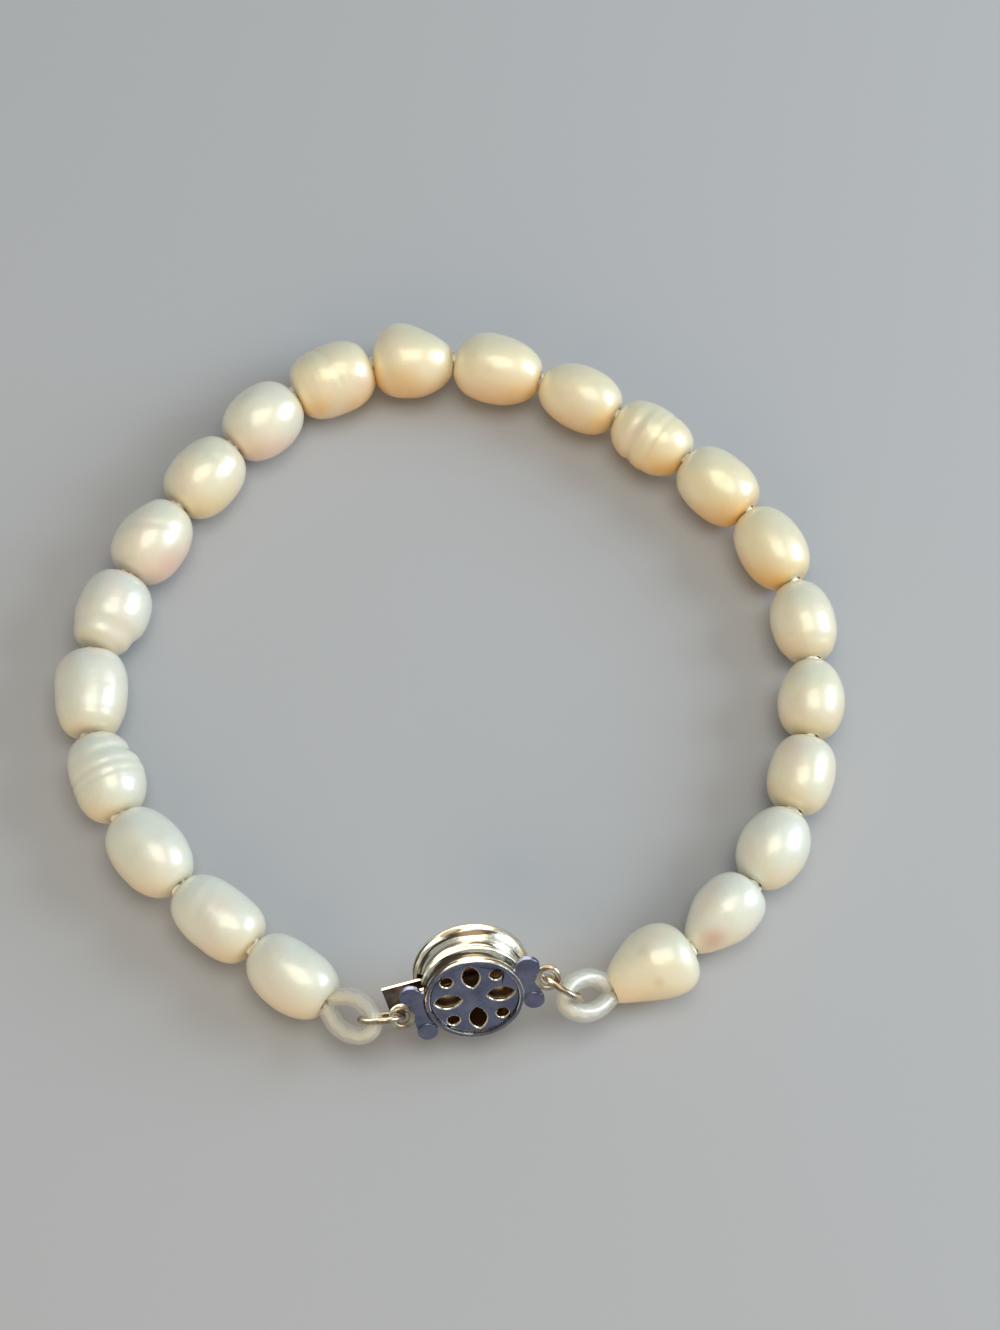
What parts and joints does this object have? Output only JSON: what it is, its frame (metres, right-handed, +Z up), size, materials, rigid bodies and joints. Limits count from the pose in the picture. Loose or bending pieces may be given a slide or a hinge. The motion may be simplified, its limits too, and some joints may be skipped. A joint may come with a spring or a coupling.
{
  "type": "pearl bracelet",
  "caption": "Bracelet of baroque cream pearls on a knotted silk thread, closed by a round pierced silver box clasp, lying in a ring.",
  "frame": {"origin": "centre of the bracelet's bounding box, on the surface that it lies on", "axes": "+Z up from the surface, the clasp at the -Y side with its pierced back plate turned to -Y and up, +X to the right of someone who faces that plate"},
  "size_m": [0.0644, 0.064, 0.009],
  "materials": {
    "pearl": "lustrous cream nacre",
    "silk": "twisted white silk",
    "sleeve": "smooth translucent tube",
    "silver": "polished silver, slightly toned"
  },
  "bodies": {
    "root": {"pearl_01": "pearl", "pearl_02": "pearl", "pearl_03": "pearl", "pearl_04": "pearl", "pearl_05": "pearl", "pearl_06": "pearl", "pearl_07": "pearl", "pearl_08": "pearl", "pearl_09": "pearl", "pearl_10": "pearl", "pearl_11": "pearl", "pearl_12": "pearl", "pearl_13": "pearl", "pearl_14": "pearl", "pearl_15": "pearl", "pearl_16": "pearl", "pearl_17": "pearl", "pearl_18": "pearl", "pearl_19": "pearl", "pearl_20": "pearl", "pearl_21": "pearl", "pearl_22": "pearl", "thread": "silk", "sleeve_left": "sleeve", "sleeve_right": "sleeve", "jump_ring_left": "silver", "jump_ring_right": "silver", "clasp_box": "silver", "clasp_tongue": "silver"}
  },
  "joints": []
}
